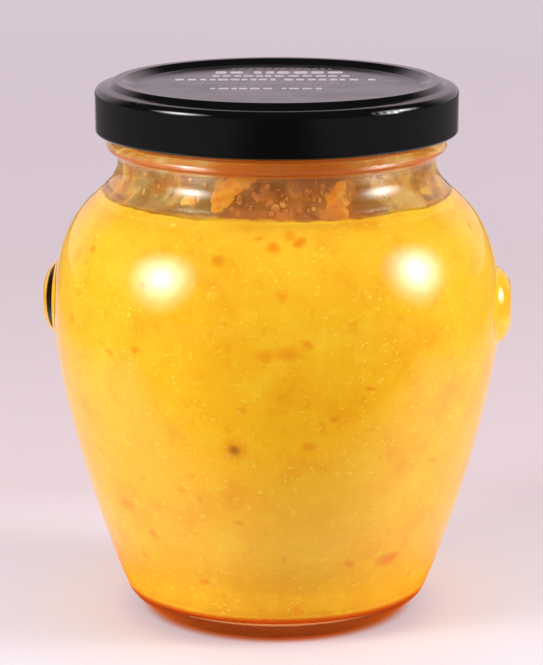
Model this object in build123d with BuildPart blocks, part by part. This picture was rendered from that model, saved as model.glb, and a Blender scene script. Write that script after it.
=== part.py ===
"""Two-eared glass preserve jar, filled with marmalade and closed by a twist-off metal lid.

Millimetres. +Z is up. The origin is at the centre of the base, on the surface that the jar
stands on, and the two ears lie along X. The jar, its contents and its lid are turned about Z.
"""

import os

from build123d import *

# Overall sizes
BELLY_RADIUS = 45.2
LID_RADIUS = 36.3
NECK_HEIGHT = 92.3  # narrowest place of the neck

# Glass body, outside. The flank rises from the heel to the belly and draws in to the neck.
NECK_RADIUS = LID_RADIUS - 4.25
HEEL_TO_BELLY = [(0.6836, 5.0), (0.8053, 20.0), (0.9275, 40.0), (1.0, 63.0)]  # share, height
BELLY_TO_NECK = [(0.8365, 76.0), (0.4677, 84.0), (0.1445, 88.0), (0.0, 92.3)]  # share, height
DRAWN_HEIGHT = 92.3  # neck height that the heights above are given for
FLANK_START = (0.40, 1.0)  # direction of the flank at the heel
STRAIGHT_UP = (0.0, 1.0)

# Glass body, inside and below
WALL = 2.6
WALL_STATIONS = [0.10, 0.22, 0.34, 0.46, 0.56, 0.66, 0.74, 0.82, 0.90]  # shares of the flank
FLOOR_MIDDLE = 5.9  # inner floor above the table
FLOOR_EDGE = 5.2
FLOOR_CORNER = (3.8, 3.6)  # how far in and down the rounded corner is from the first station
REST_RADIUS = HEEL_TO_BELLY[0][0] * BELLY_RADIUS - 7.0  # ring that the jar stands on
REST_WIDTH = 1.4
HEEL_MIDDLE = (3.4, 1.85)  # a point of the rounded heel: out from the ring, and height
PUSH_UP = 1.9  # hollow under the base
PUSH_UP_RADIUS = REST_RADIUS - 2.5

# Finish: the glass that the lid closes on
BORE_RADIUS = LID_RADIUS - 6.7
BORE_LOW = NECK_HEIGHT + 1.5
BEAD_RADIUS = LID_RADIUS - 2.25
BEAD_FOOT_RADIUS = NECK_RADIUS + 0.4
BEAD_LOW = NECK_HEIGHT + 2.1
BEAD_HIGH = BEAD_LOW + 2.6
FINISH_RADIUS = LID_RADIUS - 4.0
RIM_OUTER_ROUND = 0.7
RIM_INNER_ROUND = 1.6
THREAD_COUNT = 4
THREAD_PROUD = 1.8
THREAD_MIDDLE = NECK_HEIGHT + 9.05
THREAD_THICKNESS = 1.7
THREAD_ROOT = 0.7  # how deep the ridge is sunk in the wall
THREAD_ARC = 50.0  # degrees
THREAD_LEAD = 2.2  # degrees

# Ears: domed round bosses with a small shallow dish in the face
EAR_HEIGHT = 0.6847 * NECK_HEIGHT
EAR_RADIUS = 8.1
EAR_FACE = BELLY_RADIUS + 2.2  # from the jar's axis to the rim of the dish
EAR_ROOT = BELLY_RADIUS - 3.2
EAR_SIDE = (1.05, 6.3)  # a point of the domed side: in from the face, and out from the middle
EAR_DISH_RADIUS = 3.4
EAR_DISH_DEPTH = 0.35
EAR_BLEND = 1.2

# Marmalade: the surface rises a little from the middle to the glass
FILL_HEIGHT = NECK_HEIGHT - 6.7
FILL_RISE = 0.5

# Lid
LID_SHEET = 0.35
LID_BOTTOM = NECK_HEIGHT + 5.9
CURL_WIDTH = 1.5
CURL_HEIGHT = 1.5
CURL_ROUND = 0.72
SKIRT_TOP = LID_BOTTOM + 8.95
SKIRT_ROUND = 1.3
RIDGE_FOOT = (LID_RADIUS - 2.8, LID_BOTTOM + 9.4)
RIDGE_OUTER = LID_RADIUS - 3.8
RIDGE_INNER = LID_RADIUS - 5.7
RIDGE_TOP = LID_BOTTOM + 10.4
RIDGE_ROUND = 0.4
PANEL_RADIUS = LID_RADIUS - 7.9
PANEL_HEIGHT = LID_BOTTOM + 9.2
RIM_HEIGHT = RIDGE_TOP - LID_SHEET
LUG_ARC = 18.0  # degrees
LUG_TIP = FINISH_RADIUS + 0.6
LUG_LOW = LID_BOTTOM + 0.4
LUG_THICKNESS = 1.2

# Clots of peel that cling inside the neck. Each lobe is (turn about Z in degrees, height above
# the narrowest place of the neck, radius).
CLOT_LEFT = [(-14.4, -3.0, 2.3), (-12.2, -1.1, 2.1), (-8.2, 0.0, 1.9), (-4.9, 1.1, 1.4)]
CLOT_RIGHT = [(28.2, -0.8, 1.4), (26.4, -2.5, 2.0), (24.9, -3.9, 1.5)]
CLOT_SINK = 0.2  # how far a lobe's centre lies in from the glass, as a share of its radius


def flank_stations():
    """(radius, height) stations of the outside, from the heel to the neck."""
    stretch = NECK_HEIGHT / DRAWN_HEIGHT
    lower = [(BELLY_RADIUS * share, height * stretch) for share, height in HEEL_TO_BELLY]
    draw = BELLY_RADIUS - NECK_RADIUS
    upper = [(NECK_RADIUS + draw * share, height * stretch) for share, height in BELLY_TO_NECK]
    return lower + upper


def flank_line():
    """The outside of the jar, from the heel to the narrowest place of the neck."""
    return Spline(*flank_stations(), tangents=[FLANK_START, STRAIGHT_UP])


def wall_points(shares):
    """Stations of the inside wall, one wall thickness in from the flank."""
    with BuildLine(mode=Mode.PRIVATE):
        flank = flank_line()
        return [flank @ s + (flank % s).rotate(Axis.Z, 90) * WALL for s in shares]


def wall_radius(height):
    """Radius of the inside wall near the neck, at the station closest to a height."""
    if height > BORE_LOW:
        return BORE_RADIUS
    stations = wall_points([0.7 + 0.3 * number / 60 for number in range(61)])
    return min(stations, key=lambda point: abs(point.Y - height)).X


def clot(lobes):
    """Round lobes on the inside wall, run together and cut to the wall."""
    for turn, rise, radius in lobes:
        height = NECK_HEIGHT + rise
        reach = wall_radius(height) - radius * CLOT_SINK
        spot = Vector(0, -reach, height).rotate(Axis.Z, turn)
        inward = Vector(-spot.X, -spot.Y, 0)
        with Locations(Plane(origin=spot, z_dir=inward).location):
            Sphere(radius)
    add(cavity.part, mode=Mode.INTERSECT)


os.makedirs("parts", exist_ok=True)

# ---------------------------------------------------------------- inside of the jar, a tool body
with BuildPart() as cavity:
    with BuildSketch(Plane.YZ):
        with BuildLine():
            stations = wall_points(WALL_STATIONS)
            foot = stations[0] - Vector(1.2, FLOOR_CORNER[1])
            corner = Vector(stations[0].X - FLOOR_CORNER[0], FLOOR_EDGE)
            floor_quarter = Vector(corner.X / 2, FLOOR_MIDDLE - (FLOOR_MIDDLE - FLOOR_EDGE) / 4)
            rim_start = (BORE_RADIUS, RIM_HEIGHT - RIM_INNER_ROUND)
            rim_edge = (BORE_RADIUS + RIM_INNER_ROUND, RIM_HEIGHT)
            floor = ThreePointArc((0, FLOOR_MIDDLE), floor_quarter, corner)
            Spline(corner, foot, *stations, (BORE_RADIUS, BORE_LOW),
                   tangents=[floor % 1, STRAIGHT_UP])
            Line((BORE_RADIUS, BORE_LOW), rim_start)
            RadiusArc(rim_start, rim_edge, RIM_INNER_ROUND)
            Line(rim_edge, (0, RIM_HEIGHT))
            Line((0, RIM_HEIGHT), (0, FLOOR_MIDDLE))
        make_face()
    revolve(axis=Axis.Z)

# ---------------------------------------------------------------- glass jar
with BuildPart() as glass_jar:
    # turned body, solid at first
    with BuildSketch(Plane.YZ):
        with BuildLine():
            rest_in = (REST_RADIUS - REST_WIDTH / 2, 0)
            rest_out = (REST_RADIUS + REST_WIDTH / 2, 0)
            push_edge = (PUSH_UP_RADIUS, PUSH_UP / 2)
            ThreePointArc((0, PUSH_UP), (PUSH_UP_RADIUS / 2, PUSH_UP * 0.87), push_edge)
            Line(push_edge, rest_in)
            Line(rest_in, rest_out)
            flank = flank_line()
            heel = (rest_out[0] + HEEL_MIDDLE[0], HEEL_MIDDLE[1])
            Spline(rest_out, heel, flank @ 0, tangents=[(1.0, 0.0), FLANK_START])
            bead_foot = (BEAD_FOOT_RADIUS, BEAD_LOW)
            bead_peak = (BEAD_RADIUS, (BEAD_LOW + BEAD_HIGH) / 2)
            Spline(flank @ 1, bead_foot, bead_peak, tangents=[STRAIGHT_UP, STRAIGHT_UP])
            bead_top = (FINISH_RADIUS, BEAD_HIGH)
            RadiusArc(bead_peak, bead_top, -(BEAD_RADIUS - FINISH_RADIUS))
            rim_side = (FINISH_RADIUS, RIM_HEIGHT - RIM_OUTER_ROUND)
            rim_land = (FINISH_RADIUS - RIM_OUTER_ROUND, RIM_HEIGHT)
            Line(bead_top, rim_side)
            RadiusArc(rim_side, rim_land, -RIM_OUTER_ROUND)
            Line(rim_land, (0, RIM_HEIGHT))
            Line((0, RIM_HEIGHT), (0, PUSH_UP))
        make_face()
    revolve(axis=Axis.Z)
    turned_edges = glass_jar.edges()

    # ears: one boss turned about X, and its mirror image
    with BuildSketch(Plane.XZ):
        with BuildLine():
            dish_middle = (EAR_FACE - EAR_DISH_DEPTH, EAR_HEIGHT)
            dish_quarter = (EAR_FACE - EAR_DISH_DEPTH * 0.75, EAR_HEIGHT + EAR_DISH_RADIUS / 2)
            dish_rim = (EAR_FACE, EAR_HEIGHT + EAR_DISH_RADIUS)
            side = (EAR_FACE - EAR_SIDE[0], EAR_HEIGHT + EAR_SIDE[1])
            root = (EAR_ROOT, EAR_HEIGHT + EAR_RADIUS + 0.4)
            ThreePointArc(dish_middle, dish_quarter, dish_rim)
            Spline(dish_rim, side, root, tangents=[(-0.05, 1.0), (-1.0, 0.08)])
            Line(root, (EAR_ROOT, EAR_HEIGHT))
            Line((EAR_ROOT, EAR_HEIGHT), dish_middle)
        make_face()
    boss = revolve(axis=Axis((0, 0, EAR_HEIGHT), (1, 0, 0)))
    mirror(boss, about=Plane.YZ)
    ear_joints = []
    for edge in glass_jar.edges() - turned_edges:
        spread = edge.bounding_box()
        on_wall = min(abs(spread.min.X), abs(spread.max.X)) > EAR_ROOT
        if on_wall and spread.size.Y > EAR_RADIUS and 0.3 < spread.size.X < 1.5:
            ear_joints.append(edge)
    fillet(ear_joints, radius=EAR_BLEND)

    # inside
    add(cavity.part, mode=Mode.SUBTRACT)

    # threads: short ridges, each leaning by the lead angle
    for number in range(THREAD_COUNT):
        turn = number * 360 / THREAD_COUNT
        middle = Location((0, 0, THREAD_MIDDLE), (0, 0, turn))
        leaning = middle * Location((0, 0, 0), (THREAD_LEAD, 0, 0))
        start = Plane(leaning * Location((0, 0, 0), (0, 0, -THREAD_ARC / 2)))
        with BuildSketch(Plane(origin=start.origin, x_dir=start.x_dir, z_dir=-start.y_dir)):
            with BuildLine():
                half = THREAD_THICKNESS / 2
                root = FINISH_RADIUS - THREAD_ROOT
                crest = FINISH_RADIUS + THREAD_PROUD
                Polyline((root, half * 1.3), (crest, half * 0.35),
                         (crest, -half * 0.35), (root, -half * 1.3), close=True)
            make_face()
        revolve(axis=Axis(start.origin, start.z_dir), revolution_arc=THREAD_ARC)

glass_jar.part.label = "glass_jar"
export_step(glass_jar.part, "parts/glass_jar.step")

# ---------------------------------------------------------------- marmalade
with BuildPart() as marmalade:
    add(cavity.part)
    with BuildSketch(Plane.YZ):
        with BuildLine():
            surface_middle = (0, FILL_HEIGHT)
            surface_ring = (BORE_RADIUS, FILL_HEIGHT + FILL_RISE / 3)
            surface_edge = (BELLY_RADIUS, FILL_HEIGHT + FILL_RISE * 4)
            Spline(surface_middle, surface_ring, surface_edge, tangents=[(1, 0), (1, 0.3)])
            Polyline(surface_edge, (BELLY_RADIUS, RIDGE_TOP), (0, RIDGE_TOP), surface_middle)
        make_face()
    revolve(axis=Axis.Z, mode=Mode.SUBTRACT)

marmalade.part.label = "marmalade"
export_step(marmalade.part, "parts/marmalade.step")

# ---------------------------------------------------------------- lid
with BuildPart() as lid:
    # pressed sheet with its lower edge turned in and up
    with BuildSketch(Plane.YZ):
        with BuildLine() as sheet:
            curl_inner = LID_RADIUS - CURL_WIDTH
            Polyline((curl_inner, LID_BOTTOM + CURL_HEIGHT), (curl_inner, LID_BOTTOM),
                     (LID_RADIUS, LID_BOTTOM), (LID_RADIUS, SKIRT_TOP), RIDGE_FOOT,
                     (RIDGE_OUTER, RIDGE_TOP), (RIDGE_INNER, RIDGE_TOP),
                     (PANEL_RADIUS, PANEL_HEIGHT), (0, PANEL_HEIGHT))
            bends = sheet.vertices().filter_by(lambda v: v.X > 1)
            fillet(bends.filter_by(lambda v: abs(v.Y - LID_BOTTOM) < 0.01), CURL_ROUND)
            fillet(bends.filter_by(lambda v: abs(v.Y - SKIRT_TOP) < 0.01), SKIRT_ROUND)
            for level in (RIDGE_FOOT[1], RIDGE_TOP, PANEL_HEIGHT):
                fillet(bends.filter_by(lambda v: abs(v.Y - level) < 0.01), RIDGE_ROUND)
            offset(amount=LID_SHEET, side=Side.LEFT)
        make_face()
    revolve(axis=Axis.Z)

    # lugs: they hook under the threads
    for number in range(THREAD_COUNT):
        turn = number * 360 / THREAD_COUNT - LUG_ARC / 2
        start = Plane(Location((0, 0, 0), (0, 0, turn)))
        with BuildSketch(Plane(origin=start.origin, x_dir=start.x_dir, z_dir=-start.y_dir)):
            lug_width = curl_inner + LID_SHEET / 2 - LUG_TIP
            with Locations((LUG_TIP + lug_width / 2, LUG_LOW + LUG_THICKNESS / 2)):
                Rectangle(lug_width, LUG_THICKNESS)
        revolve(axis=Axis.Z, revolution_arc=LUG_ARC)

lid.part.label = "lid"
export_step(lid.part, "parts/lid.step")

# ---------------------------------------------------------------- clots of peel inside the neck
with BuildPart() as clot_left:
    clot(CLOT_LEFT)

clot_left.part.label = "clot_left"
export_step(clot_left.part, "parts/clot_left.step")

with BuildPart() as clot_right:
    clot(CLOT_RIGHT)

clot_right.part.label = "clot_right"
export_step(clot_right.part, "parts/clot_right.step")
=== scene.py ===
"""Looks of the marmalade jar: glass, marmalade with its pulp, lacquered lid with a plain print,
and what clings inside the neck. Lengths are metres, or millimetres where a comment says so."""

import math
import random

import bmesh
import bpy
import numpy as np
from mathutils import Matrix, Vector, noise


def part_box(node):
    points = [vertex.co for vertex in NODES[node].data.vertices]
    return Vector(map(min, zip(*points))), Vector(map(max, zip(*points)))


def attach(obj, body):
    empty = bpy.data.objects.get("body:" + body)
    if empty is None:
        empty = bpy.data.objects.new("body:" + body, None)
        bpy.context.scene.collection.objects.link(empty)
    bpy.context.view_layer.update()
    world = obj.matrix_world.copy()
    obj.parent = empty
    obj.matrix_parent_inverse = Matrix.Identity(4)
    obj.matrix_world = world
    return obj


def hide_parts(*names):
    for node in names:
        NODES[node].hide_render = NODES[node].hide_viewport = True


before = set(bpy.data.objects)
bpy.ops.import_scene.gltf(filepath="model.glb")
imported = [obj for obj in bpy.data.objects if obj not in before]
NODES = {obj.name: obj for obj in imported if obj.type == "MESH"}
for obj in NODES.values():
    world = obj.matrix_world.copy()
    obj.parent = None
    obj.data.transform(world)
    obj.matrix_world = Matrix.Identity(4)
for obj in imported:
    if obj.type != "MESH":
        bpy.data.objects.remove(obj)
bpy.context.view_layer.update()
MM = 0.001
VIEW_TURN = math.radians(5.0)  # the camera stands this far round from -Y towards +X
VIEW_DEPTH = (-math.sin(VIEW_TURN), math.cos(VIEW_TURN))  # the level direction away from the camera
VIEW_SIDE = (math.cos(VIEW_TURN), math.sin(VIEW_TURN))  # the level direction to the camera's right


# ---------------------------------------------------------------- shader helpers
def rgb(red, green, blue):
    """A colour given as it shows, 0 to 255, as the linear colour that Blender wants."""
    shares = [value / 255 for value in (red, green, blue)]
    return tuple(s / 12.92 if s <= 0.04045 else ((s + 0.055) / 1.055) ** 2.4 for s in shares) + (1.0,)


class Tree:
    """Short names for the nodes of one material, world or lamp."""

    def __init__(self, owner):
        owner.use_nodes = True
        self.tree = owner.node_tree
        self.tree.nodes.clear()

    def feed(self, socket, value):
        """Links another socket to this one, or sets its value."""
        if isinstance(value, bpy.types.NodeSocket):
            self.tree.links.new(value, socket)
        else:
            socket.default_value = value

    def node(self, kind, inputs=None, **settings):
        made = self.tree.nodes.new(kind)
        for name, value in settings.items():
            setattr(made, name, value)
        for name, value in (inputs or {}).items():
            self.feed(made.inputs[name], value)
        return made

    def math(self, operation, a, b=0.0):
        return self.node("ShaderNodeMath", {0: a, 1: b}, operation=operation).outputs[0]

    def plus(self, a, b):
        return self.math("ADD", a, b)

    def times(self, a, b):
        return self.math("MULTIPLY", a, b)

    def larger(self, a, b):
        return self.math("MAXIMUM", a, b)

    def vector(self, operation, a, b=(0.0, 0.0, 0.0)):
        made = self.node("ShaderNodeVectorMath", {0: a, 1: b}, operation=operation)
        return made.outputs["Value"] if operation in ("DISTANCE", "LENGTH") else made.outputs["Vector"]

    def place(self):
        """The point being shaded, in metres in the part's own frame."""
        return self.node("ShaderNodeTexCoord").outputs["Object"]

    def axes(self, place):
        """X, Y and Z of a place."""
        outputs = self.node("ShaderNodeSeparateXYZ", {"Vector": place}).outputs
        return outputs["X"], outputs["Y"], outputs["Z"]

    def off_axis(self, place):
        """How far a place lies from the jar's upright axis."""
        return self.vector("LENGTH", self.vector("MULTIPLY", place, (1.0, 1.0, 0.0)))

    def along(self, place, direction):
        """How far a place lies along a level direction."""
        x, y, _ = self.axes(place)
        return self.plus(self.times(x, direction[0]), self.times(y, direction[1]))

    def squash(self, place, upright):
        """The place with its height scaled, so that a pattern lies flatter (over 1) or runs taller."""
        inputs = {"Vector": place, "Scale": (1.0, 1.0, upright)}
        return self.node("ShaderNodeMapping", inputs).outputs["Vector"]

    def span(self, value, low, high, to_low=0.0, to_high=1.0, smooth=True):
        """Runs from to_low to to_high while the value runs from low to high, and stays there."""
        kind = "SMOOTHSTEP" if smooth else "LINEAR"
        inputs = {"Value": value, "From Min": low, "From Max": high, "To Min": to_low, "To Max": to_high}
        return self.node("ShaderNodeMapRange", inputs, interpolation_type=kind).outputs["Result"]

    def mix(self, share, a, b):
        """Colour a at share 0, colour b at share 1."""
        made = self.node("ShaderNodeMix", data_type="RGBA")
        for number, value in ((0, share), (6, a), (7, b)):
            self.feed(made.inputs[number], value)
        return made.outputs[2]

    def ramp(self, share, stops):
        """Colours in a row, each with its place between 0 and 1."""
        made = self.node("ShaderNodeValToRGB", {"Fac": share})
        elements = made.color_ramp.elements
        while len(elements) < len(stops):
            elements.new(0.5)
        for element, (place, colour) in zip(elements, stops):
            element.position = place
            element.color = colour
        return made.outputs["Color"]

    def noise(self, place, size, detail=2.0, rough=0.5, distort=0.0):
        """Soft noise, 0 to 1, with lumps of this size in millimetres."""
        inputs = {"Vector": place, "Scale": 1 / (size * MM), "Detail": detail,
                  "Roughness": rough, "Distortion": distort}
        return self.node("ShaderNodeTexNoise", inputs).outputs["Fac"]

    def cells(self, place, size):
        """Distance from the nearest cell's middle, and that cell's own draw. The size is millimetres."""
        outputs = self.node("ShaderNodeTexVoronoi", {"Vector": place, "Scale": 1 / (size * MM)}).outputs
        return outputs["Distance"], outputs["Color"]

    def grains(self, place, size, edge, core, some, all_of, most=1.0):
        """Round grains: none beyond edge and full within core of a cell's middle, from none in cells
        that drew less than some to the most in cells that drew more than all_of."""
        distance, draw = self.cells(place, size)
        return self.times(self.span(distance, edge, core), self.span(draw, some, all_of, 0.0, most))

    def bump(self, height, strength, distance):
        inputs = {"Height": height, "Strength": strength, "Distance": distance}
        return self.node("ShaderNodeBump", inputs).outputs["Normal"]

    def principled(self, inputs):
        return self.node("ShaderNodeBsdfPrincipled", inputs).outputs["BSDF"]

    def blend(self, share, a, b):
        """Shader a at share 0, shader b at share 1."""
        return self.node("ShaderNodeMixShader", {0: share, 1: a, 2: b}).outputs[0]

    def rays(self):
        return self.node("ShaderNodeLightPath").outputs


def new_material(name):
    material = bpy.data.materials.new(name)
    return material, Tree(material)


def finish_tree(t, surface):
    t.node("ShaderNodeOutputMaterial", {"Surface": surface})


# ---------------------------------------------------------------- mesh helpers
def piece(name, mesh, material, body="root"):
    made = bpy.data.objects.new(name, mesh)
    bpy.context.scene.collection.objects.link(made)
    mesh.materials.append(material)
    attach(made, body)
    return made


def mesh_from(name, vertices, faces):
    mesh = bpy.data.meshes.new(name)
    mesh.from_pydata([tuple(v) for v in vertices], [], faces)
    mesh.validate()
    mesh.update()
    mesh.shade_smooth()
    return mesh


def lathe(name, profile, segments, shift):
    """Turns a profile of (r, z) round Z, from a point on the axis to a point on the axis.
    shift moves each vertex."""
    rings, vertices, faces = [], [], []
    for r, z in profile:
        if r < 1e-6:
            rings.append([len(vertices)])
            vertices.append(Vector((0, 0, z)))
            continue
        ring = []
        for number in range(segments):
            turn = 2 * math.pi * number / segments
            ring.append(len(vertices))
            vertices.append(Vector((r * math.sin(turn), -r * math.cos(turn), z)))
        rings.append(ring)
    for low, high in zip(rings, rings[1:]):
        for number in range(segments):
            following = (number + 1) % segments
            if len(low) == 1:
                faces.append((low[0], high[following], high[number]))
            elif len(high) == 1:
                faces.append((low[number], low[following], high[0]))
            else:
                faces.append((low[number], low[following], high[following], high[number]))
    return mesh_from(name, [shift(v) for v in vertices], faces)


# ---------------------------------------------------------------- the wall round the marmalade
WIDENS_BELOW = 0.05  # up to this height the wall only gets wider


def node_points(name):
    mesh = NODES[name].data
    flat = np.empty(len(mesh.vertices) * 3, dtype=np.float64)
    mesh.vertices.foreach_get("co", flat)
    return flat.reshape(-1, 3)


def outermost(points):
    """(z, r) of the outermost point at each height, from the lowest up."""
    levels = {}
    for z, r in zip(points[:, 2], np.hypot(points[:, 0], points[:, 1])):
        key = round(float(z), 6)
        levels[key] = max(levels.get(key, 0.0), float(r))
    return np.array(sorted(levels.items()))


def flank_only(line):
    """The line without the points of the floor and the top, which lie further in."""
    kept = [0]
    widest = line[0, 1]
    for number, (z, r) in enumerate(line):
        least = widest * 0.9999 if z < WIDENS_BELOW else line[kept[-1], 1] * 0.97
        if number and r > least:
            kept.append(number)
            widest = max(widest, r)
    return line[kept]


fill_points = node_points("marmalade")
FILL_TOP = float(fill_points[:, 2].max())
wall_line = flank_only(outermost(fill_points))
FILL_FOOT = wall_line[0, 0]
FILL_TOP_MM = FILL_TOP * 1000

# ---------------------------------------------------------------- marmalade: shape
REACH = 0.15 * MM  # how far the marmalade reaches into the glass
CORNER_REACH = 2.4  # times as far at the rounded lower corner
CORNER_HIGH = 0.0012  # how high that corner is
FLOOR_RISE = 0.0007  # the floor's middle over its edge, as the base's glass rises there
TOP_HOLLOW = 0.0005  # the level's middle under its edge
LUMPY_DEPTH = 0.0011  # what counts as the top surface, down from the level
LUMPY_RADIUS = 0.0372  # the top is uneven inside this radius
LUMPY_FADE = 0.004
CLOSE_RINGS_HIGH = 0.006  # the rings lie close together up to here, over the foot
FLANK_FROM = 0.0065  # and evenly spaced from here
FOOT_RINGS = 26
FLANK_RINGS = 120
FLOOR_RINGS = 26
TOP_RINGS = 46
FILL_SEGMENTS = 224


def fill_profile():
    """(r, z) from the middle of the floor, out along it, up the flank and in along the top."""
    heights = np.concatenate([
        FILL_FOOT + CLOSE_RINGS_HIGH * np.linspace(0, 1, FOOT_RINGS) ** 2,
        np.linspace(FILL_FOOT + FLANK_FROM, FILL_TOP, FLANK_RINGS)])
    radii = np.interp(heights, wall_line[:, 0], wall_line[:, 1])
    slopes = np.gradient(radii, heights)
    flank = []
    for z, r, slope in zip(heights, radii, slopes):
        length = math.hypot(1, slope)
        reach = REACH * (CORNER_REACH if z < FILL_FOOT + CORNER_HIGH else 1.0)
        flank.append((r + reach / length, z - reach * slope / length))
    foot_r, foot_z = flank[0]
    floor = []
    for share in np.linspace(0, 1, FLOOR_RINGS)[:-1]:
        floor.append((share * (foot_r - 1e-4), foot_z - 0.0002 + FLOOR_RISE * (1 - share ** 2)))
    rim_r, rim_z = flank[-1]
    top = []
    for share in np.linspace(0.99, 0, TOP_RINGS):
        top.append((rim_r * share, rim_z - TOP_HOLLOW + TOP_HOLLOW * share ** 8))
    return floor + flank + top


def lumpy_top(v):
    radius = math.hypot(v.x, v.y)
    if v.z > FILL_TOP - LUMPY_DEPTH and radius < LUMPY_RADIUS:
        fade = min(1.0, (LUMPY_RADIUS - radius) / LUMPY_FADE)
        v.z += fade * (0.0007 * noise.noise(v * 140) + 0.0005 * noise.noise(v * 420))
    return v


# ---------------------------------------------------------------- marmalade: look
JELLY_HEIGHTS = (0.004, 0.088)  # JELLY_TONES run between these heights
SHADED_UNDERSIDE = (0.0062, 0.0052)  # the underside's painted shade begins between these heights
SHADED_TOP_HEIGHT = (0.0838, 0.0850)  # the top surface's painted shade begins between these heights
SHADED_TOP_RADIUS = (0.0334, 0.0318)  # and these radii
PULL_SCALE = 260.0  # waves in a metre of the noise that pulls the pulp's pattern about
WANDER = 0.0035  # how far it pulls
PEEL_WANDER = 0.35  # the share of that for the single pieces of peel

# the jelly's tone by height, from the foot to the neck
JELLY_TONES = [
    (0.0, rgb(234, 172, 46)), (0.20, rgb(248, 184, 28)), (0.50, rgb(251, 186, 30)),
    (0.75, rgb(245, 184, 30)), (0.93, rgb(248, 190, 44)), (1.0, rgb(240, 178, 50))]

# single pieces of peel that show near the glass: place and half sizes in millimetres, strength, colour
PEEL_SPOTS = [
    ((-7.7, -38.6, 79.0), (1.5, 4.0, 1.2), 0.70, rgb(230, 138, 10)),
    ((2.5, -37.9, 81.3), (1.3, 4.0, 1.1), 0.75, rgb(244, 134, 14)),
    ((5.4, -35.9, 83.3), (1.3, 4.0, 0.9), 0.60, rgb(236, 138, 20)),
    ((7.4, -36.6, 82.2), (1.4, 4.0, 1.0), 0.75, rgb(236, 134, 14)),
    ((4.6, -41.1, 73.5), (1.2, 4.0, 1.3), 0.55, rgb(244, 144, 16)),
    ((1.6, -42.6, 62.5), (2.0, 4.0, 1.5), 0.60, rgb(244, 142, 12)),
    ((5.6, -42.3, 62.8), (2.4, 4.0, 1.6), 0.60, rgb(240, 140, 16)),
    ((9.4, -39.3, 44.2), (1.7, 4.0, 1.3), 0.55, rgb(238, 134, 20)),
    ((23.0, -23.6, 17.2), (2.4, 5.0, 1.5), 0.65, rgb(236, 124, 18)),
    ((-26.5, -24.7, 27.7), (2.0, 6.0, 1.4), 0.55, rgb(238, 132, 20)),
    ((-4.6, -39.9, 43.3), (2.6, 4.0, 2.6), 0.42, rgb(226, 120, 24)),
    ((-4.6, -39.9, 43.3), (1.1, 4.0, 1.0), 0.75, rgb(168, 96, 28)),
]


def jelly_tone(t, height, bent, mid):
    """The jelly by height, with wide and middling patches that are lighter or darker."""
    colour = t.ramp(t.span(height, *JELLY_HEIGHTS, smooth=False), JELLY_TONES)
    wide = t.noise(bent, 9.0, 3.0, 0.55)
    colour = t.mix(t.span(wide, 0.50, 0.72, 0.0, 0.45), colour, rgb(238, 152, 18))
    colour = t.mix(t.span(wide, 0.48, 0.30, 0.0, 0.40), colour, rgb(253, 202, 46))
    colour = t.mix(t.span(mid, 0.55, 0.75, 0.0, 0.35), colour, rgb(254, 210, 62))
    return t.mix(t.span(mid, 0.42, 0.28, 0.0, 0.30), colour, rgb(230, 142, 24))


def pulp_and_bits(t, colour, where, bent):
    """Pale pulp in two sizes and small orange bits. Gives the colour and the larger pulp's share."""
    pulp = t.grains(t.squash(bent, 1.7), 1.5, 0.42, 0.10, 0.40, 0.80)
    pulp = t.times(pulp, t.span(t.noise(where, 6.0, 2.0), 0.40, 0.58, 0.25, 0.80))
    colour = t.mix(pulp, colour, rgb(254, 214, 78))
    fine = t.grains(bent, 0.8, 0.42, 0.14, 0.55, 0.80, 0.45)
    colour = t.mix(fine, colour, rgb(254, 208, 66))
    bits = t.grains(t.squash(bent, 1.5), 7.0, 0.26, 0.06, 0.52, 0.66, 0.60)
    return t.mix(bits, colour, rgb(238, 132, 16)), pulp


def peel_spots(t, colour, near):
    for centre, half, strength, tint in PEEL_SPOTS:
        local = t.vector("SUBTRACT", near, tuple(c * MM for c in centre))
        local = t.vector("DIVIDE", local, tuple(h * MM for h in half))
        colour = t.mix(t.span(t.vector("LENGTH", local), 1.35, 0.30, 0.0, strength), colour, tint)
    return colour


def marmalade_look():
    material, t = new_material("marmalade_jelly")
    where = t.place()
    height = t.axes(where)[2]
    pull = t.node("ShaderNodeTexNoise", {"Vector": where, "Scale": PULL_SCALE, "Detail": 2.0})
    centred = t.vector("SUBTRACT", pull.outputs["Color"], (0.5, 0.5, 0.5))
    wander = t.vector("MULTIPLY", centred, (WANDER, WANDER, WANDER))
    bent = t.vector("ADD", where, wander)
    less = t.vector("MULTIPLY", wander, (PEEL_WANDER, PEEL_WANDER, PEEL_WANDER))
    mid = t.noise(bent, 3.2, 3.0, 0.6)

    colour = jelly_tone(t, height, bent, mid)
    colour, pulp = pulp_and_bits(t, colour, where, bent)
    # painted shade and amber light: the underside is painted a deep orange, as it looks shaded and lit
    # amber through the base
    colour = t.mix(t.span(height, *SHADED_UNDERSIDE), colour, rgb(244, 132, 36))
    colour = peel_spots(t, colour, t.vector("ADD", where, less))
    # painted shade: the top surface, seen flat through the neck, is painted a deeper amber for the lid's
    # shade over it
    top = t.times(t.span(height, *SHADED_TOP_HEIGHT), t.span(t.off_axis(where), *SHADED_TOP_RADIUS))
    colour = t.mix(top, colour, t.mix(t.span(mid, 0.35, 0.65), rgb(146, 68, 20), rgb(168, 90, 32)))

    finish_tree(t, t.principled({
        "Base Color": colour, "Roughness": 0.30, "IOR": 1.42, "Specular IOR Level": 0.05,
        "Normal": t.bump(t.plus(pulp, t.times(mid, 0.6)), 0.25, 0.0004),
        "Subsurface Weight": 0.22, "Subsurface Radius": (1.0, 0.65, 0.2), "Subsurface Scale": 0.004}))
    return material


fill = lathe("marmalade_fill", fill_profile(), FILL_SEGMENTS, lumpy_top)
fill_piece = piece("marmalade_fill", fill, marmalade_look())
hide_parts("marmalade")

# ---------------------------------------------------------------- glass
BASE_GLASS = 0.0056  # the base's glass ends at this height
MOST_BOUNCES = 5.5  # a ray that has bounced more often goes straight on
BASE_BOUNCES = 5.0  # counted as already done in the base, so that there every ray after the first goes straight with the painted amber tint


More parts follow.
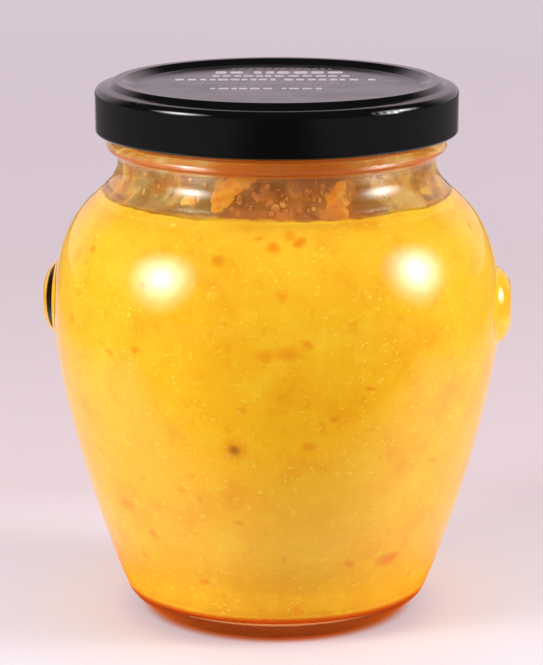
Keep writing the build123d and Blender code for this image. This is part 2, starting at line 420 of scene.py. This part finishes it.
def glass_look():
    """Clear glass. Shadow and diffuse rays go straight through it. So does light led round in it,
    which gets a painted amber tint in place of the light that the marmalade beside it colours."""
    material, t = new_material("jar_glass")
    where = t.place()
    clear = t.principled({
        "Base Color": rgb(253, 254, 253), "Roughness": 0.0, "IOR": 1.5, "Transmission Weight": 1.0,
        "Normal": t.bump(t.noise(where, 14.0, 1.0, 0.4), 0.12, 0.0006)})
    rays = t.rays()
    in_base = t.math("LESS_THAN", t.axes(where)[2], BASE_GLASS)
    bounces = t.plus(rays["Ray Depth"], t.times(in_base, BASE_BOUNCES))
    led_round = t.math("GREATER_THAN", bounces, MOST_BOUNCES)
    # painted light: the amber tint stands in for light that the marmalade colours
    tint = t.mix(led_round, (0.96, 0.97, 0.96, 1.0), rgb(236, 164, 94))
    through = t.node("ShaderNodeBsdfTransparent", {"Color": tint}).outputs[0]
    straight = t.larger(rays["Is Shadow Ray"], t.larger(rays["Is Diffuse Ray"], led_round))
    finish_tree(t, t.blend(straight, clear, through))
    return material


NODES["glass_jar"].material_slots[0].material = glass_look()

# ---------------------------------------------------------------- lid
PANEL_RADIUS = (0.0288, 0.0284)  # the sunk panel begins between these radii
PANEL_HEIGHT = (0.1068, 0.1071)  # and between these heights


def lid_look():
    """Black lacquer, a little greyer and duller on the panel, with orange peel and some dust."""
    material, t = new_material("lid_lacquer")
    where = t.place()
    panel = t.times(t.span(t.off_axis(where), *PANEL_RADIUS), t.span(t.axes(where)[2], *PANEL_HEIGHT))
    dust = t.grains(where, 1.1, 0.10, 0.04, 0.75, 0.95)
    lacquer = t.mix(panel, rgb(11, 11, 12), rgb(32, 29, 32))
    lacquer = t.mix(t.times(dust, 0.25), lacquer, rgb(120, 114, 112))
    dull = t.plus(t.span(t.noise(where, 9.0, 3.0), 0.35, 0.70, 0.05, 0.13), t.times(panel, 0.10))
    relief = t.plus(t.noise(where, 2.6, 2.0), t.times(t.noise(where, 0.35, 2.0), 0.15))
    orange_peel = t.bump(relief, 0.05, 0.0003)
    finish_tree(t, t.principled({
        "Base Color": lacquer, "Roughness": dull, "IOR": 1.5, "Normal": orange_peel,
        "Coat Weight": 0.10, "Coat Roughness": 0.04, "Coat IOR": 1.5, "Coat Normal": orange_peel}))
    return material


NODES["lid"].material_slots[0].material = lid_look()

# ---------------------------------------------------------------- print on the lid
# Plain broken bars. Rows are (middle x, y, length, bar height, gap share, strength), in millimetres
PRINT_ROWS = [
    (1.2, 22.6, 21.0, 1.5, 0.45, 0.35),
    (0.7, 17.2, 26.5, 3.4, 0.22, 1.00),
    (0.9, 12.2, 28.0, 2.6, 0.25, 0.90),
    (-0.2, 6.9, 40.6, 2.3, 0.28, 1.00),
    (-1.0, 1.2, 37.0, 1.0, 0.50, 0.45),
    (-1.8, -1.2, 36.0, 1.0, 0.50, 0.40),
    (-1.9, -5.6, 22.6, 2.2, 0.26, 0.95),
    (-3.0, -10.4, 24.6, 1.1, 0.50, 0.40),
    (-3.0, -13.2, 24.0, 1.1, 0.50, 0.40),
]
PANEL_DEPTH = 1.2 * MM  # the panel lies this far under the lid's top
BAR_SUNK = 0.02 * MM  # a bar's underside is this far inside the panel
BAR_PROUD = 0.03 * MM  # and its top this far over it
SHORTEST_BAR = 0.3  # millimetres
BAR_CORNERS = 12
WIDE_GAP_CHANCE = 0.13


def bar_outline(x, y, wide, tall):
    """A rounded rectangle that begins at x and has its middle at y."""
    ring = []
    for corner in range(BAR_CORNERS):
        angle = 2 * math.pi * (corner + 0.5) / BAR_CORNERS
        cx = math.copysign(abs(math.cos(angle)) ** 0.5, math.cos(angle)) * wide / 2
        cy = math.copysign(abs(math.sin(angle)) ** 0.5, math.sin(angle)) * tall / 2
        ring.append((x + wide / 2 + cx, y + cy))
    return ring


def print_mesh():
    """Flat rounded bars of uneven length along each row, laid on the panel."""
    rng = random.Random(41)
    panel_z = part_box("lid")[1].z - PANEL_DEPTH
    build = bmesh.new()
    layer = build.loops.layers.color.new("ink")
    turn = Matrix.Rotation(VIEW_TURN, 4, "Z")

    def level(ring, z):
        return [build.verts.new(turn @ Vector((px * MM, py * MM, z))) for px, py in ring]

    for middle, y, length, high, gap, strength in PRINT_ROWS:
        x = middle - length / 2
        while x < middle + length / 2 - SHORTEST_BAR:
            wide = min(high * rng.uniform(0.45, 0.95), middle + length / 2 - x)
            tall = high * rng.uniform(0.85, 1.0)
            ring = bar_outline(x, y, wide, tall)
            low = level(ring, panel_z - BAR_SUNK)
            top = level(ring, panel_z + BAR_PROUD)
            faces = [build.faces.new(top), build.faces.new(low[::-1])]
            for a in range(BAR_CORNERS):
                b = (a + 1) % BAR_CORNERS
                faces.append(build.faces.new((low[a], low[b], top[b], top[a])))
            for face in faces:
                for loop in face.loops:
                    loop[layer] = (strength, strength, strength, 1)
            x += wide + high * gap * rng.uniform(0.6, 1.3)
            if rng.random() < WIDE_GAP_CHANCE:
                x += high * 0.5
    mesh = bpy.data.meshes.new("lid_print")
    build.to_mesh(mesh)
    build.free()
    return mesh


def print_look():
    """Pale ink, fainter where the row is weak or the print is worn."""
    material, t = new_material("pale_print")
    ink = t.node("ShaderNodeVertexColor", layer_name="ink").outputs["Color"]
    wear = t.noise(t.place(), 0.7, 3.0, 0.6)
    tint = t.mix(ink, rgb(104, 97, 104), rgb(214, 202, 210))
    tint = t.mix(t.span(wear, 0.50, 0.72, 0.0, 0.35), tint, rgb(120, 110, 118))
    finish_tree(t, t.principled({
        "Base Color": tint, "Roughness": 0.35, "Coat Weight": 0.4, "Coat Roughness": 0.1}))
    return material


piece("lid_print", print_mesh(), print_look())

# ---------------------------------------------------------------- the neck's inside wall
# (height above the table, radius) of the inside wall round the neck, straight above the last
NECK_WALL = [(0.0829, 0.03552), (0.0860, 0.0333), (0.0880, 0.03165), (0.0905, 0.0301), (0.0938, 0.0296)]
NECK_HEIGHTS, NECK_RADII = zip(*NECK_WALL)


def inner_radius(z):
    return float(np.interp(z, NECK_HEIGHTS, NECK_RADII))


def on_wall(turn, z, sink=0.0):
    """A place on the inside wall. turn is degrees about Z from -Y towards +X. z and sink, which is
    how far it stands off the wall, are millimetres."""
    r = inner_radius(z * MM) - sink * MM
    angle = math.radians(turn)
    return Vector((r * math.sin(angle), -r * math.cos(angle), z * MM))


def wall_frame(spot):
    """A frame at this place, with X pointing out of the jar."""
    out = Vector((spot.x, spot.y, 0)).normalized()
    return Matrix.Translation(spot) @ out.to_track_quat("X", "Z").to_matrix().to_4x4()


def hold_inside(place, into_glass):
    """Pulls a place in, if it lies deeper in the glass than this."""
    limit = inner_radius(place.z) + into_glass
    reach = math.hypot(place.x, place.y)
    if reach > limit:
        place.x *= limit / reach
        place.y *= limit / reach


# ---------------------------------------------------------------- clots of peel in the neck
LOBE_FLAT = 0.8  # a lobe's thickness off the wall, as a share of its width
LOBE_SINK = 0.35  # a lobe's middle stands this share of its radius off the wall
LUMP_VOXEL = 0.22 * MM
LUMP_RELIEF = 0.28 * MM

# piece, node it replaces, seed, and its lobes: degrees round, height and radius in millimetres
CLOTS = [
    ("clot_left_lump", "clot_left", 1, [
        (-14.6, 89.1, 2.35), (-13.0, 91.2, 2.2), (-10.2, 92.1, 1.9), (-7.4, 93.0, 1.7),
        (-4.8, 94.2, 1.5), (-10.6, 93.6, 1.3), (-15.6, 87.6, 1.4)]),
    ("clot_right_lump", "clot_right", 2, [
        (28.4, 91.7, 1.35), (27.0, 90.4, 1.6), (25.4, 89.0, 1.7), (28.2, 88.5, 1.2),
        (24.4, 87.4, 1.6), (26.4, 86.6, 1.7)]),
    ("clot_small_lump", None, 3, [
        (-28.4, 88.2, 1.1), (-26.8, 88.5, 1.2), (-25.4, 88.1, 0.8)]),
]


def run_together(name, mesh):
    """The mesh remeshed into one skin and smoothed."""
    made = bpy.data.objects.new(name + "_tool", mesh)
    bpy.context.scene.collection.objects.link(made)
    remesh = made.modifiers.new("run_together", "REMESH")
    remesh.mode = "VOXEL"
    remesh.voxel_size = LUMP_VOXEL
    soften = made.modifiers.new("soften", "SMOOTH")
    soften.factor = 0.5
    soften.iterations = 5
    graph = bpy.context.evaluated_depsgraph_get()
    result = bpy.data.meshes.new_from_object(made.evaluated_get(graph))
    bpy.data.objects.remove(made)
    return result


def lump_mesh(name, lobes, seed):
    """Round lobes on the wall run together into one uneven lump."""
    build = bmesh.new()
    for turn, z, size in lobes:
        shape = wall_frame(on_wall(turn, z, size * LOBE_SINK)) @ Matrix.Diagonal((LOBE_FLAT, 1, 1, 1))
        bmesh.ops.create_icosphere(build, subdivisions=3, radius=size * MM, matrix=shape)
    mesh = bpy.data.meshes.new(name)
    build.to_mesh(mesh)
    build.free()
    result = run_together(name, mesh)
    bpy.data.meshes.remove(mesh)
    result.name = name
    offset = Vector((seed * 7.1, seed * 3.3, 0))
    moved = []
    for v in result.vertices:
        relief = noise.noise(v.co * 900 + offset) + 0.5 * noise.noise(v.co * 2000 + offset)
        moved.append(v.co + v.normal * LUMP_RELIEF * relief)
    for v, place in zip(result.vertices, moved):
        hold_inside(place, 0.06 * MM)
        v.co = place
    result.update()
    result.shade_smooth()
    return result


def clot_look():
    """Glossy orange peel, darker at spots."""
    material, t = new_material("peel_clot")
    where = t.place()
    colour = t.ramp(t.noise(where, 2.4, 3.0, 0.6), [
        (0.30, rgb(232, 128, 14)), (0.50, rgb(244, 166, 28)), (0.68, rgb(250, 200, 70))])
    spots = t.span(t.cells(where, 1.3)[0], 0.28, 0.12, 0.0, 0.6)
    colour = t.mix(spots, colour, rgb(236, 118, 10))
    finish_tree(t, t.principled({
        "Base Color": colour, "Roughness": 0.16, "IOR": 1.42,
        "Normal": t.bump(t.noise(where, 0.9, 3.0), 0.4, 0.0003),
        "Subsurface Weight": 0.3, "Subsurface Radius": (1.0, 0.45, 0.1), "Subsurface Scale": 0.002}))
    return material


clot_material = clot_look()
for name, node, seed, lobes in CLOTS:
    lump = piece(name, lump_mesh(name, lobes, seed), clot_material)
    if node:
        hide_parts(node)

# ---------------------------------------------------------------- jelly film on the neck
FILM_SEGMENTS = 400
FILM_LEVELS = 60
# millimetres
FILM_LOW = FILL_TOP_MM - 0.35
FILM_HIGH = 104.5  # just under the lid's top
FILM_IN_GLASS = -0.10
FILM_THIN = 0.16
SMEAR_TOP = 97  # the thick smear at the front ends here
SMEAR_FADE = 3
# degrees from -Y towards +X
SMEAR_TURN = 8
SMEAR_WIDE = 22
# what the look needs, in metres: where each thing begins and where it is full
REAR = (0.004, 0.024)  # behind the jar's axis
RING_COVER = (0.0925, 0.0955)  # height
RING_TONE = (0.0938, 0.0956)  # height
SMEAR_X = 0.004
SMEAR_SIDES = (0.017, 0.008)  # to either side of SMEAR_X
SMEAR_FRONT = (0.0, -0.010)  # y


def film_thickness(turn, z):
    """How far the film stands off the wall, in millimetres: most in the smear at the front."""
    spot = on_wall(turn, z)
    off = (turn - SMEAR_TURN + 180) % 360 - 180
    smear = math.exp(-(off / SMEAR_WIDE) ** 2) * min(1.0, max(0.0, (SMEAR_TOP - z) / SMEAR_FADE))
    folds = 0.50 * max(0.0, noise.noise(spot * 420)) + 0.22 * abs(noise.noise(spot * 900))
    return FILM_THIN + 0.22 * max(0.0, noise.noise(spot * 260)) + smear * folds


def film_mesh():
    """A closed sleeve: a side just inside the glass, a side towards the room, and two rims."""
    heights = np.linspace(FILM_LOW, FILM_HIGH, FILM_LEVELS)
    turns = [360 * number / FILM_SEGMENTS for number in range(FILM_SEGMENTS)]
    vertices = [on_wall(turn, z, FILM_IN_GLASS) for z in heights for turn in turns]
    vertices += [on_wall(turn, z, film_thickness(turn, z)) for z in heights for turn in turns]
    faces = []
    half = FILM_LEVELS * FILM_SEGMENTS
    for row in range(FILM_LEVELS - 1):
        for number in range(FILM_SEGMENTS):
            following = (number + 1) % FILM_SEGMENTS
            a = row * FILM_SEGMENTS + number
            b = row * FILM_SEGMENTS + following
            c = a + FILM_SEGMENTS
            d = b + FILM_SEGMENTS
            faces.append((a, b, d, c))
            faces.append((half + a, half + c, half + d, half + b))
    top = (FILM_LEVELS - 1) * FILM_SEGMENTS
    for number in range(FILM_SEGMENTS):
        following = (number + 1) % FILM_SEGMENTS
        faces.append((number, half + number, half + following, following))
        faces.append((top + number, top + following, half + top + following, half + top + number))
    return mesh_from("jelly_film", vertices, faces)


def film_look():
    """Amber jelly that covers more or less of the glass: most at the back and in the ring under the
    lid, deeper in colour there and in the smear at the front."""
    material, t = new_material("jelly_film")
    where = t.place()
    x, y, height = t.axes(where)
    rear = t.span(y, *REAR)
    cover = t.noise(t.squash(where, 0.45), 7.0, 4.0, 0.6, 0.6)
    amount = t.plus(t.span(cover, 0.42, 0.70, 0.22, 0.62), t.times(rear, 0.50))
    amount = t.larger(amount, t.span(height, *RING_COVER, 0.0, 0.94))

    colour = t.ramp(t.noise(where, 5.0, 3.0), [
        (0.32, rgb(228, 142, 50)), (0.52, rgb(240, 180, 88)), (0.70, rgb(248, 210, 128))])
    colour = t.mix(t.times(rear, 0.85), colour, rgb(206, 106, 38))
    from_smear = t.math("ABSOLUTE", t.math("SUBTRACT", x, SMEAR_X))
    smear = t.times(t.span(from_smear, *SMEAR_SIDES), t.span(y, *SMEAR_FRONT))
    colour = t.mix(t.times(smear, 0.80), colour, rgb(224, 126, 46))
    colour = t.mix(t.span(height, *RING_TONE, 0.0, 0.85), colour, rgb(236, 112, 30))

    bare = t.node("ShaderNodeBsdfTransparent").outputs[0]
    film = t.principled({"Base Color": colour, "Roughness": 0.04, "IOR": 1.45})
    finish_tree(t, t.blend(amount, bare, film))
    return material


piece("jelly_film", film_mesh(), film_look())

# ---------------------------------------------------------------- jelly drops on the neck
DROPS = 200
DROP_FLAT = 0.55  # a drop's thickness off the wall, as a share of its radius
# millimetres
DROP_LOW = FILL_TOP_MM + 0.9
DROP_HIGH = 94.6
DROP_USUAL = 90  # most drops sit near this height
DROP_SINK = 0.12  # a drop's middle stands this far off the wall
# degrees: the middle and the spread of those in the smear
SMEAR_DROPS = (8, 15)


def drop_mesh():
    """Beads of jelly on the neck's inside wall: low domes, a little longer downwards, every third
    of them near the smear at the front."""
    rng = random.Random(7)
    build = bmesh.new()
    for number in range(DROPS):
        turn = rng.gauss(*SMEAR_DROPS) if number % 3 == 0 else rng.uniform(-180, 180)
        z = rng.triangular(DROP_LOW, DROP_HIGH, DROP_USUAL)
        size = 0.22 + 0.50 * rng.random() ** 2.6
        long = rng.uniform(0.9, 1.6)
        wide = rng.uniform(0.8, 1.1)
        shape = wall_frame(on_wall(turn, z, DROP_SINK)) @ Matrix.Diagonal((DROP_FLAT, wide, long, 1))
        bmesh.ops.create_icosphere(build, subdivisions=2, radius=size * MM, matrix=shape)
    for v in build.verts:
        v.co += v.normal * 0.14 * MM * noise.noise(v.co * 1500)
        hold_inside(v.co, 0.03 * MM)
    mesh = bpy.data.meshes.new("jelly_drops")
    build.to_mesh(mesh)
    build.free()
    mesh.shade_smooth()
    return mesh


def drop_look():
    material, t = new_material("jelly_drop")
    colour = t.ramp(t.noise(t.place(), 4.0, 2.0), [
        (0.35, rgb(166, 84, 24)), (0.50, rgb(196, 116, 44)), (0.66, rgb(226, 170, 84))])
    finish_tree(t, t.principled({
        "Base Color": colour, "Roughness": 0.05, "IOR": 1.5, "Coat Weight": 0.8, "Coat Roughness": 0.02}))
    return material


piece("jelly_drops", drop_mesh(), drop_look())

# ---------------------------------------------------------------- stage: paper floor
FLOOR_WIDE = 7.0
FLOOR_HEIGHT = -0.0002
PAPER_GLOW = 0.30
PAPER_NEAR = -0.1  # the paper's tones run from this depth
PAPER_FAR = 1.9  # to this one

# where each painted glow, shade and reflection begins and where it is full: distance from the jar's axis
GLOW_ROUND_JAR = (0.062, 0.028)
PAINTED_SHADE_UNDER_JAR = (0.0285, 0.0250)
PAINTED_AMBER_MIRRORED_NEAR = (0.056, 0.036)
# depth from the axis, and distance to either side of it
IN_FRONT = (-0.035, -0.10)
DARKEST_STRIP = (0.42, 0.10)
BESIDE_PAPER = (0.13, 0.28)

# the paper's tone by depth
PAPER_TONES = [
    (0.0, rgb(206, 201, 212)), (0.05, rgb(208, 202, 215)), (0.075, rgb(208, 196, 204)),
    (0.09, rgb(198, 183, 190)), (0.15, rgb(197, 181, 188)), (0.22, rgb(195, 180, 189)),
    (0.28, rgb(200, 185, 195)), (0.36, rgb(205, 190, 200)), (0.47, rgb(212, 197, 208)),
    (0.58, rgb(220, 205, 215))]


def paper_tone(t, rays, where, depth):
    """The paper by depth, with painted light and shade from the jar: a painted warm glow round it,
    painted amber shade under it, and a painted amber reflection near it for the rays that the jar mirrors
    or lets through.
    """
    paper = t.ramp(t.span(depth, PAPER_NEAR, PAPER_FAR, smooth=False), PAPER_TONES)
    away = t.off_axis(where)
    # painted light: a faint warm glow round the jar
    paper = t.mix(t.span(away, *GLOW_ROUND_JAR, 0.0, 0.14), paper, rgb(240, 206, 150))
    # painted shade: dark amber under the jar
    paper = t.mix(t.span(away, *PAINTED_SHADE_UNDER_JAR), paper, rgb(190, 108, 54))
    # painted reflection: amber near the jar for rays that the jar mirrors or lets through
    through_jar = t.larger(rays["Is Transmission Ray"], rays["Is Glossy Ray"])
    return t.mix(t.times(through_jar, t.span(away, *PAINTED_AMBER_MIRRORED_NEAR)), paper, rgb(242, 130, 50))


def floor_look():
    """Paper that glows a little for the rays that see it. Mirrored rays find it dark in front of the
    jar and off the paper's strip, as the room is there."""
    material, t = new_material("paper_sweep")
    where = t.place()
    depth = t.along(where, VIEW_DEPTH)
    across = t.math("ABSOLUTE", t.along(where, VIEW_SIDE))
    rays = t.rays()
    paper = paper_tone(t, rays, where, depth)

    diffuse = t.node("ShaderNodeBsdfDiffuse", {"Color": paper}).outputs[0]
    glow = t.node("ShaderNodeEmission", {"Color": paper, "Strength": PAPER_GLOW}).outputs[0]
    seen = t.larger(rays["Is Camera Ray"], t.larger(rays["Is Glossy Ray"], rays["Is Transmission Ray"]))
    glow_seen = t.node("ShaderNodeMixShader", {0: seen, 2: glow}).outputs[0]
    lit = t.node("ShaderNodeAddShader", {0: diffuse, 1: glow_seen}).outputs[0]

    in_front = t.span(depth, *IN_FRONT)
    darkest = t.times(in_front, t.span(across, *DARKEST_STRIP))
    unlit = t.mix(darkest, (0.17, 0.15, 0.155, 1), (0.006, 0.006, 0.006, 1))
    room = t.node("ShaderNodeEmission", {"Color": unlit}).outputs[0]
    off_paper = t.larger(in_front, t.span(across, *BESIDE_PAPER))
    finish_tree(t, t.blend(t.times(rays["Is Glossy Ray"], off_paper), lit, room))
    return material


bpy.ops.mesh.primitive_grid_add(
    x_subdivisions=8, y_subdivisions=8, size=FLOOR_WIDE, location=(0, 0, FLOOR_HEIGHT))
floor = bpy.context.object
floor.name = "floor"
floor.data.materials.append(floor_look())


# ---------------------------------------------------------------- stage: world
BACKDROP = rgb(212, 195, 205)
# a direction's part away from the camera, and its part upwards
FILL_DIRECTION = (-0.9, 0.5)
FILL_STRENGTH = (0.40, 0.62)
BAND_DIRECTION = (0.35, 0.80)
BAND_RISE = (0.62, 0.40)


def world_look(world):
    """A plain backdrop for what is seen, a soft fill for what is lit, and for mirrors a dark room
    with the backdrop as a band behind the jar."""
    t = Tree(world)
    look = t.node("ShaderNodeTexCoord").outputs["Generated"]
    behind = t.along(look, VIEW_DEPTH)
    rise = t.axes(look)[2]
    rays = t.rays()
    backdrop = t.node("ShaderNodeBackground", {"Color": BACKDROP, "Strength": 1.0}).outputs[0]
    strength = t.span(behind, *FILL_DIRECTION, *FILL_STRENGTH)
    fill_light = t.node("ShaderNodeBackground", {"Color": (1.0, 0.98, 0.97, 1), "Strength": strength})
    band = t.times(t.span(behind, *BAND_DIRECTION), t.span(rise, *BAND_RISE))
    mirror_colour = t.mix(band, (0.02, 0.02, 0.022, 1), BACKDROP)
    mirrored = t.node("ShaderNodeBackground", {"Color": mirror_colour, "Strength": 1.0}).outputs[0]
    unseen = t.blend(rays["Is Glossy Ray"], fill_light.outputs[0], mirrored)
    seen = t.larger(rays["Is Camera Ray"], rays["Is Transmission Ray"])
    t.node("ShaderNodeOutputWorld", {"Surface": t.blend(seen, unseen, backdrop)})


world = bpy.data.worlds.new("studio")
bpy.context.scene.world = world
world_look(world)

# ---------------------------------------------------------------- stage: lamps
LAMP_AWAY = 1.0
LAMP_WIDE = 0.86
LAMP_POWER = 47.0
LAMP_AIM = Vector((0, 0, 0.065))
LAMP_FALL = (0.50, 0.05)  # none at the rim, full near the middle, in shares of the width
LAMP_CURVE = 2.2


def lamp(name, turn, rise):
    """A round lamp, brightest in its middle. turn is degrees from -Y towards +X, rise is degrees
    above the level of what it aims at."""
    light = bpy.data.lights.new(name, "AREA")
    light.shape = "DISK"
    light.size = LAMP_WIDE
    light.energy = LAMP_POWER
    light.color = (1.0, 0.985, 0.96)
    t = Tree(light)
    spread = t.vector("DISTANCE", t.node("ShaderNodeNewGeometry").outputs["Parametric"], (0.5, 0.5, 0.0))
    strength = t.math("POWER", t.span(spread, *LAMP_FALL, smooth=False), LAMP_CURVE)
    softened = t.node("ShaderNodeEmission", {"Strength": strength})
    t.node("ShaderNodeOutputLight", {"Surface": softened.outputs[0]})
    made = bpy.data.objects.new(name, light)
    angle = math.radians(turn)
    lift = math.radians(rise)
    out = Vector((math.sin(angle) * math.cos(lift), -math.cos(angle) * math.cos(lift), math.sin(lift)))
    made.location = LAMP_AIM + out * LAMP_AWAY
    made.rotation_euler = out.to_track_quat("Z", "Y").to_euler()
    made.visible_camera = False
    bpy.context.scene.collection.objects.link(made)


lamp("lamp_left", -59, 21.5)
lamp("lamp_right", 85, 21.0)

# ---------------------------------------------------------------- stage: camera
CAMERA_PLACE = (-1.06, -541, 185.6)  # millimetres, before the turn round the jar
CAMERA_DOWN = 13.41  # degrees below level

camera_data = bpy.data.cameras.new("camera")
camera_data.sensor_fit = "AUTO"
camera_data.sensor_width = 36.0
camera_data.lens = 147.9
camera_data.clip_start = 0.01
camera_data.clip_end = 20.0
camera = bpy.data.objects.new("camera", camera_data)
camera.location = Matrix.Rotation(VIEW_TURN, 3, "Z") @ Vector([value * MM for value in CAMERA_PLACE])
camera.rotation_euler = (math.radians(90 - CAMERA_DOWN), 0, VIEW_TURN)
bpy.context.scene.collection.objects.link(camera)
bpy.context.scene.camera = camera

bpy.context.scene.view_settings.view_transform = "Standard"
